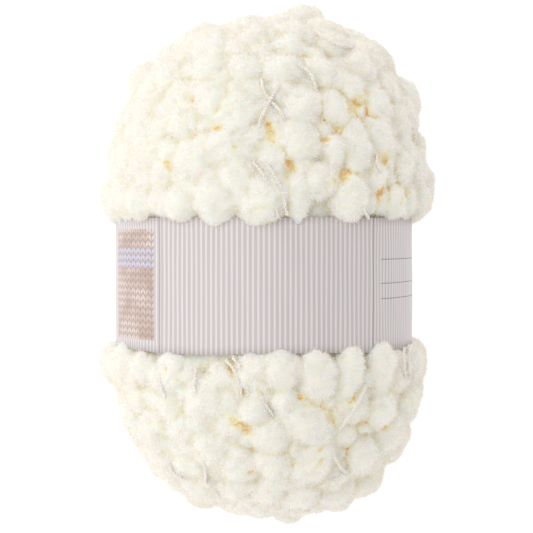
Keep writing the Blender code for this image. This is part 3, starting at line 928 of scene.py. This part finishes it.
def link_routes(draw):
    """Routes that bridge from one pompom to a near one, starting and ending inside their pile."""
    outer = middles[:outer_count]
    free = np.abs(outer[:, 1] - BAND_MIDDLE) > BAND_HEIGHT / 2
    free = np.flatnonzero(free & (outer[:, 2] > LINK_FLOOR) & (normals[:outer_count, 2] < LINK_FACING))
    lifted = outer + normals[:outer_count] * LINK_LIFT
    for first in draw.choice(free, LINK_COUNT, replace=False):
        away = np.linalg.norm(outer[free] - outer[first], axis=1)
        near = free[(away > LINK_REACH[0]) & (away < LINK_REACH[1])]
        near = near[np.sign(outer[near, 1] - BAND_MIDDLE) == np.sign(outer[first, 1] - BAND_MIDDLE)]
        second = draw.choice(near)
        way = lifted[second] - lifted[first]
        count = max(THREAD_POINTS, round(np.linalg.norm(way) / THREAD_STEP))
        share = np.linspace(0, 1, count)[:, None]
        sideways = np.cross(normals[first], way / np.linalg.norm(way))
        bend = draw.uniform(-LINK_BEND, LINK_BEND) * np.sin(math.pi * share)
        yield lifted[first] + share * way + bend * sideways - LINK_DIP * (2 * share - 1) ** 4 * normals[first]


def thread_mesh():
    """All routes as chains of edges in one mesh."""
    draw = np.random.default_rng(THREAD_SEED)
    places, edges = [], []
    for route in [*face_routes(), *link_routes(draw)]:
        wander = np.cumsum(draw.normal(0, THREAD_WANDER, route.shape), axis=0)
        wander -= np.linspace(0, 1, len(route))[:, None] * wander[-1]
        start = len(places)
        places += [tuple(place) for place in route + wander]
        edges += [(i, i + 1) for i in range(start, len(places) - 1)]
    mesh = bpy.data.meshes.new("thread_routes")
    mesh.from_pydata(places, edges, [])
    return mesh


thread_routes = thread_mesh()
print(len(thread_routes.vertices), "points on all the routes")

# %% [markdown]
# A tube alone would look like wire. So Geometry Nodes moves each route sideways round itself in a helix, once
# for each of the two plies, half a turn apart, and sweeps a thin profile along both. Its size swells and
# shrinks on the way, which gives the plies the beaded look of a thread with short pile left on it.

# %% Twist two plies round every route
PLY_RADIUS = 0.4 * MM
PLY_STEP = 0.34 * MM
TWIST_PITCH = 3.4 * MM
BEAD_PITCH = 1.7 * MM
BEAD_SWELL = 0.45  # how far a ply swells and shrinks at its beads


def thread_tree():
    tree = Nodes("Two-ply thread")
    curve = tree.node("GeometryNodeMeshToCurve", values=[tree.geometry()])
    curve = tree.node("GeometryNodeCurveSplineType", {"spline_type": "CATMULL_ROM"}, [curve])
    resampled = {"Curve": curve, "Length": tree.inlet("Step")}
    curve = tree.node("GeometryNodeResampleCurve", {"mode": "LENGTH"}, resampled)
    tangent, normal = tree.node("GeometryNodeInputTangent"), tree.node("GeometryNodeInputNormal")
    sideways = tangent.vector("CROSS_PRODUCT", normal)
    length = tree.node("GeometryNodeSplineParameter", output=1)
    radius, pitch = tree.inlet("Ply radius"), tree.inlet("Twist pitch")
    bead = length / tree.inlet("Bead pitch") * (2 * math.pi)
    bead = 1.0 + BEAD_SWELL * bead.maths("COSINE")
    profile = tree.node("GeometryNodeCurvePrimitiveCircle", values={"Resolution": 4, "Radius": radius})
    plies = tree.tree.nodes.new("GeometryNodeJoinGeometry")
    for phase in (0.0, math.pi):
        angle = length / pitch * (2 * math.pi) + phase
        offset = normal.scaled(angle.maths("COSINE") * radius)
        offset = offset.vector("ADD", sideways.scaled(angle.maths("SINE") * radius))
        ply = tree.node("GeometryNodeSetPosition", values={"Geometry": curve, "Offset": offset})
        values = {"Curve": ply, "Profile Curve": profile, "Scale": bead, "Fill Caps": True}
        ply = tree.node("GeometryNodeCurveToMesh", values=values)
        tree.tree.links.new(ply.socket, plies.inputs[0])
    return tree.end(tree.node("GeometryNodeSetShadeSmooth", values=[Signal(tree, plies.outputs[0])]))


threads = new_object("core_thread", thread_routes)
thread_tree().run(threads, Step=PLY_STEP, Ply_radius=PLY_RADIUS, Twist_pitch=TWIST_PITCH,
                  Bead_pitch=BEAD_PITCH, Material=yarn_thread)
yarn_pieces.append(threads)
print("threads:", triangles(threads), "triangles")

# %% [markdown]
# ## The paper band
#
# A strip of paper 61 mm high goes once round the waist and 12 mm further, where it is glued on itself at the
# back. It was folded flat before it was used, so each quarter turn has a crease, and its lower edge waves
# where pompoms push it. A plane could be bent by modifiers, but a grid that numpy places keeps two lengths on
# each point, the way along the strip and the way up it. So the flat size stays true and the print straight.

# %% Roll the strip round the waist
STRIP_OVERLAP = 12 * MM
STRIP_THICKNESS = 0.3 * MM
STRIP_LENGTH = 2 * math.pi * BAND_RADIUS + STRIP_OVERLAP
STRIP_STEPS = 380
STRIP_ROWS = 14
FOLD_TURNS = tuple(math.radians(turn) for turn in (-40.4, 43, 135, -133))
FOLD_RISE = 1.4 * MM
FOLD_REACH = 8 * MM
EDGE_WAVE = 0.7 * MM
EDGE_WAVES = (3, 2)  # two rows of waves round the edge, multiplied, so that it waves unevenly
EDGE_TURN = 0.6  # radians by which the first row is turned
DENT = 0.22 * MM
DENT_WAVES = (23, 5)  # waves in a turn round the strip, and radians of a wave up it
DENT_SLANT = (3, 2)  # the first slants by so many radians up the strip, the second by so many waves round it
GLUE = 0.1 * MM
GLUE_SLOPE = 0.7  # share of the overlap's length over which the strip climbs onto itself


def smooth_step(low, high, value):
    """0 up to low, 1 from high on, and a soft rise between them."""
    share = np.clip((value - low) / (high - low), 0, 1)
    return share * share * (3 - 2 * share)


def round_at(turn):
    """The way along the strip, from its hidden end, to a turn round the waist; turn 0 is the face."""
    return BAND_RADIUS * (turn + math.pi) % (2 * math.pi * BAND_RADIUS) + STRIP_OVERLAP / 2


def strip_mesh():
    """The strip's outer face as a grid, with the way along it and across it kept on its points, in metres."""
    round_way = np.linspace(0, STRIP_LENGTH, STRIP_STEPS)
    up_way = np.linspace(0, 1, STRIP_ROWS)
    turn = (round_way - STRIP_OVERLAP / 2) / BAND_RADIUS - math.pi
    lap_start = STRIP_LENGTH - (1 + GLUE_SLOPE) * STRIP_OVERLAP
    lap = smooth_step(lap_start, STRIP_LENGTH - STRIP_OVERLAP, round_way)
    radius = BAND_RADIUS + lap * (STRIP_THICKNESS + GLUE)
    for fold in FOLD_TURNS:
        from_fold = np.abs((turn - fold + math.pi) % (2 * math.pi) - math.pi) * BAND_RADIUS
        radius += FOLD_RISE * np.exp(-from_fold / FOLD_REACH)
    low = BAND_BOTTOM + EDGE_WAVE * np.sin(EDGE_WAVES[0] * turn + EDGE_TURN) * np.cos(EDGE_WAVES[1] * turn)
    turns_grid, ups = np.meshgrid(turn, up_way, indexing="ij")
    along = low[:, None] + (BAND_TOP - low[:, None]) * ups
    dents = DENT * np.sin(DENT_WAVES[0] * turns_grid + DENT_SLANT[0] * ups)
    dents = dents * np.sin(DENT_WAVES[1] * ups + DENT_SLANT[1] * turns_grid)
    out = radius[:, None] + dents
    across, towards = BAND_SHIFT + out * np.sin(turns_grid), BALL_AXIS_HEIGHT + out * np.cos(turns_grid)
    places = np.stack([across, along, towards], axis=2).reshape(-1, 3)
    corner = (np.arange(STRIP_STEPS - 1)[:, None] * STRIP_ROWS + np.arange(STRIP_ROWS - 1)).ravel()
    faces = np.stack([corner, corner + 1, corner + STRIP_ROWS + 1, corner + STRIP_ROWS], axis=1)
    mesh = bpy.data.meshes.new("paper_strip")
    mesh.from_pydata(places.tolist(), [], faces.tolist())
    on_strip = [np.broadcast_to(round_way[:, None], ups.shape), ups * BAND_HEIGHT, np.zeros(ups.shape)]
    store(mesh, "strip", np.stack(on_strip, axis=2).reshape(-1, 3))
    return mesh


paper = new_object("paper_strip", strip_mesh())
thick = paper.modifiers.new("Paper", "SOLIDIFY")
thick.thickness = STRIP_THICKNESS
thick.offset = -1.0
settle(paper)
paper.data.shade_smooth()
print("paper strip:", triangles(paper), "triangles,", round(1000 * STRIP_LENGTH), "mm long")

# %% [markdown]
# ## Print on the paper
#
# The print could be an image, but formulas on the two lengths stay sharp from near and need no file. The
# stripes run across the strip, so their number is the way round divided by their pitch. On the left there is
# a printed panel of plain knitted fabric: each stitch is a V, so its rows bend down towards the middle of
# their column. On the right stand a few thin rules.
# Along each fold runs a thin line of painted shade.

# %% Two helpers for patterns
def within(value, low, high):
    return (value > low) * (value < high)


def from_centre(value):
    """How far a value is from the middle between two whole numbers, 0 to a half."""
    return (value.maths("FRACT") - 0.5).maths("ABSOLUTE")


# %% The knitted panel
PANEL_TURNS = (math.radians(-75), math.radians(-43.7))
PANEL_RISE = (5.2 * MM, 56 * MM)
KNIT_COLUMN = 4.4 * MM
KNIT_ROW = 3.1 * MM
KNIT_SLANT = 1.3  # rows that a stitch climbs over one column
KNIT_ROW_GAP = (0.24, 0.5)  # where the dark between rows, inside and between columns starts and ends
KNIT_MIDDLE_GAP = (0.02, 0.12)
KNIT_SIDE_GAP = (0.42, 0.5)
KNIT_GAP_SHARE = 0.8
KNIT_GROUND = colour(224, 210, 203)
KNIT_SHADE = colour(172, 145, 133)
KNIT_DIM = colour(197, 175, 165)
KNIT_DIM_SCALE = 70.0
KNIT_DIM_RANGE = (0.42, 0.66)
KNIT_ACCENT = colour(209, 206, 224)
KNIT_ACCENT_RISE = (38 * MM, 47.4 * MM)
print("stitches across:", round(BAND_RADIUS * (PANEL_TURNS[1] - PANEL_TURNS[0]) / KNIT_COLUMN, 1))


def knit_colour(tree, round_way, up_way):
    """A knitted fabric with V stitches, some of its rows in an accent colour."""
    aside = from_centre(round_way / KNIT_COLUMN)
    dark = from_centre(up_way / KNIT_ROW - aside * KNIT_SLANT).span(*KNIT_ROW_GAP)
    dark = dark.maths("MAXIMUM", aside.span(*KNIT_MIDDLE_GAP, KNIT_GAP_SHARE, 0.0))
    dark = dark.maths("MAXIMUM", aside.span(*KNIT_SIDE_GAP, 0.0, KNIT_GAP_SHARE))
    dim = tree.noise(tree.place(), KNIT_DIM_SCALE, 2.0).span(*KNIT_DIM_RANGE)
    wool = tree.mix(dim, KNIT_GROUND, KNIT_DIM)
    wool = tree.mix(within(up_way, *KNIT_ACCENT_RISE), wool, KNIT_ACCENT)
    return tree.mix(dark, wool, KNIT_SHADE)


# %% The stripes, the rules and the folds, and all of it on the paper
STRIPE_COUNT = 193
STRIPE_PITCH = STRIP_LENGTH / STRIPE_COUNT
STRIPE_EDGE = (0.15, 0.25)  # where a stripe starts and ends to fade, in pitches from its middle
MAUVE = colour(205, 196, 196)
STRIPE = colour(229, 224, 224)
RULE_INK = colour(92, 88, 90)
RULE_TURNS = (math.radians(47.9), math.radians(104))
RULE_RISES = (42.2 * MM, 31.2 * MM, 24.2 * MM)
RULE_WIDTH = 0.35 * MM
RULE_SHARE = 0.75
# A thin line of painted shade along each fold, where the crease falls into shadow
FOLD_COLOUR = colour(146, 138, 138)
FOLD_LINE = (0.1 * MM, 0.5 * MM)
FOLD_SHARE = 0.8
FIBRE_SCALE = 1600.0
FIBRE_BUMP = (0.25, 0.1 * MM)


def paper_finish(tree):
    strip = tree.attribute("strip", output=1)
    round_way, up_way = strip.part("X"), strip.part("Y")
    stripes = from_centre(round_way / STRIPE_PITCH).span(*STRIPE_EDGE, 1.0, 0.0)
    print_and_fold_shade = tree.mix(stripes, MAUVE, STRIPE)
    panel = within(round_way, *map(round_at, PANEL_TURNS)) * within(up_way, *PANEL_RISE)
    print_and_fold_shade = tree.mix(panel, print_and_fold_shade, knit_colour(tree, round_way, up_way))
    on_rules = within(round_way, *map(round_at, RULE_TURNS))
    for rise in RULE_RISES:
        rule = on_rules * within(up_way, rise - RULE_WIDTH / 2, rise + RULE_WIDTH / 2)
        print_and_fold_shade = tree.mix(rule * RULE_SHARE, print_and_fold_shade, RULE_INK)
    # Each fold gets a thin line of painted shade.
    for fold in FOLD_TURNS:
        shade = (round_way - round_at(fold)).maths("ABSOLUTE").span(*FOLD_LINE, FOLD_SHARE, 0.0)
        print_and_fold_shade = tree.mix(shade, print_and_fold_shade, FOLD_COLOUR)
    fibres = tree.noise(tree.place(), FIBRE_SCALE, 2.0)
    return {"Base Color": print_and_fold_shade, "Normal": tree.bump(fibres, *FIBRE_BUMP)}


paper_look = finish_material("striped_paper", paper_finish, Roughness=0.5, Specular_IOR_Level=0.4)
paper.data.materials.clear()
paper.data.materials.append(paper_look)
print("stripes round the strip:", STRIPE_COUNT)

# %% Ride and replace
for piece in yarn_pieces:
    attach(piece, "root")
    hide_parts("yarn_ball")
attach(paper, "root")
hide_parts("paper_band")
print("pieces:", [piece.name for piece in yarn_pieces + [paper]])

# %% [markdown]
# ## The studio
#
# A white table, one large soft light from the upper left, and a bright sky with a grey card on its right.
# The camera looks straight down on the ball from 0.8 m, a little from its upper end, with a long lens.

# %% The table and the light
TABLE_SIZE = 3.0
TABLE_DROP = 0.5 * MM  # keeps the table clear of the ball's lowest faces
TABLE_GLOW = 0.66  # lets the table show as white as the background
KEY_PLACE = (-0.4, 0.25, 1.17)
KEY_SIZE = 1.3
KEY_POWER = 4.9


def table():
    mesh = bmesh.new()
    bmesh.ops.create_grid(mesh, x_segments=2, y_segments=2, size=TABLE_SIZE)
    data = bpy.data.meshes.new("table")
    mesh.to_mesh(data)
    mesh.free()
    white = finish_material("white_table", lambda tree: {}, Base_Color=(0.6, 0.6, 0.6, 1), Roughness=0.8,
                            Emission_Color=(1, 1, 1, 1), Emission_Strength=TABLE_GLOW)
    top = new_object("table", data)
    top.data.materials.append(white)
    top.location.z = -TABLE_DROP
    return top


table()
middle = Vector((0, 0, BALL_AXIS_HEIGHT))
lamp = bpy.data.lights.new("key", "AREA")
lamp.size, lamp.energy = KEY_SIZE, KEY_POWER
key = new_object("key", lamp)
key.location = KEY_PLACE
key.rotation_euler = (middle - key.location).to_track_quat("-Z", "Y").to_euler()
print("key light", round((middle - key.location).length, 2), "m away")

# %% The sky
SKY_HORIZON = 0.95
SKY_TOP = 0.71
SKY_SLOPE = 0.15  # how much dimmer the sky is to the right than overhead, and brighter to the left
SKY_CARD = 0.2  # how much of the right side's light a grey card takes away
SKY_RISE = (0.1, 0.7)  # heights between which the sky dims
CARD_RISE = (0.15, 0.35)
CARD_SIDE = (0.15, 0.7)


def studio_sky():
    """White near the horizon, so that the table's far edge doesn't show, and softer overhead."""
    sky = bpy.data.worlds.new("studio")
    sky.use_nodes = True
    tree = Tree(sky.node_tree)
    direction = tree.node("ShaderNodeTexCoord")
    height, rightward = direction.part("Z"), direction.part("X")
    card = rightward.span(*CARD_SIDE, 0.0, SKY_CARD) * height.span(*CARD_RISE)
    light = height.span(*SKY_RISE, SKY_HORIZON, SKY_TOP) * (1.0 - SKY_SLOPE * rightward) * (1.0 - card)
    background = sky.node_tree.nodes["Background"]
    sky.node_tree.links.new(light.socket, background.inputs["Strength"])
    background.inputs["Color"].default_value = (1, 1, 1, 1)
    return sky


bpy.context.scene.world = studio_sky()
bpy.context.scene.view_settings.view_transform = "Standard"
print("sky from", SKY_HORIZON, "at the horizon to", SKY_TOP, "overhead")

# %% The camera
IMAGE_WIDTH = 0.2587  # metres of the plane through the ball's axis that the picture shows
CAMERA_DISTANCE = 0.825
CAMERA_ALONG = 0.016
SENSOR_WIDTH = 36

lens = bpy.data.cameras.new("camera")
camera = new_object("camera", lens)
camera.location = middle + Vector((0, CAMERA_ALONG, CAMERA_DISTANCE))
camera.rotation_euler = (math.atan2(-CAMERA_ALONG, CAMERA_DISTANCE), 0, 0)  # the picture's top is +Y
lens.sensor_width = SENSOR_WIDTH
lens.lens = SENSOR_WIDTH * (camera.location - middle).length / IMAGE_WIDTH
bpy.context.scene.camera = camera
print("lens in mm:", round(lens.lens, 1))
